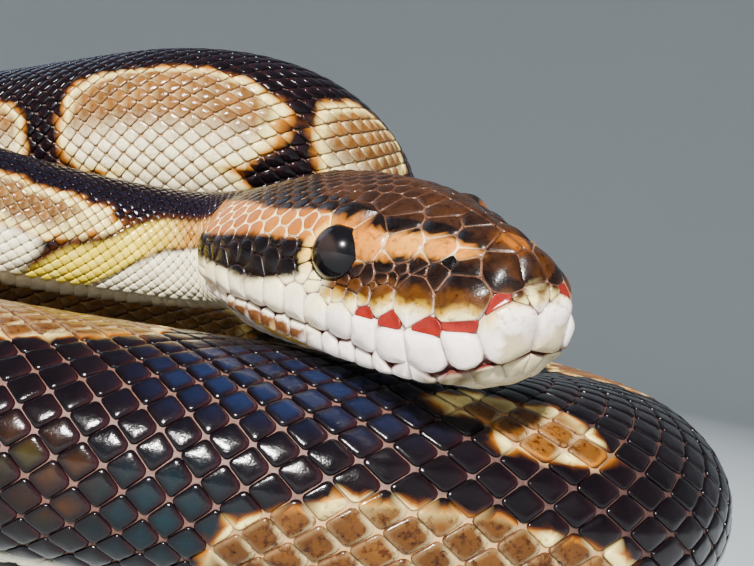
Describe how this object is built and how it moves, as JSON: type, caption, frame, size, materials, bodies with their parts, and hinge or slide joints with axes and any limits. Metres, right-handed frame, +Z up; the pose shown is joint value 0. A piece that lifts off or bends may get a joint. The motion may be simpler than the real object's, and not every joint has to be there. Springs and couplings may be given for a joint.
{
  "type": "coiled ball python",
  "caption": "Life-size still model of a coiled ball python, with the neck looped back over the body and the head resting on the front coil.",
  "frame": {"origin": "under the middle of the coiled body, on the floor it rests on", "axes": "+Z up; the picture looks along +Y, with the head's snout towards -Y and +X and the tail's tip at +X"},
  "size_m": [0.2202, 0.1915, 0.0682],
  "materials": {
    "skin": "glossy domed scales, near black with tan blotches and a cream belly",
    "eye": "wet, polished, near black"
  },
  "bodies": {
    "root": {"head": "skin", "lower_jaw": "skin", "eye_left": "eye", "eye_right": "eye", "neck": "skin", "trunk_01": "skin", "trunk_02": "skin", "trunk_03": "skin", "trunk_04": "skin", "trunk_05": "skin", "trunk_06": "skin", "trunk_07": "skin", "trunk_08": "skin", "trunk_09": "skin", "trunk_10": "skin", "trunk_11": "skin", "trunk_12": "skin", "tail": "skin"}
  },
  "joints": []
}
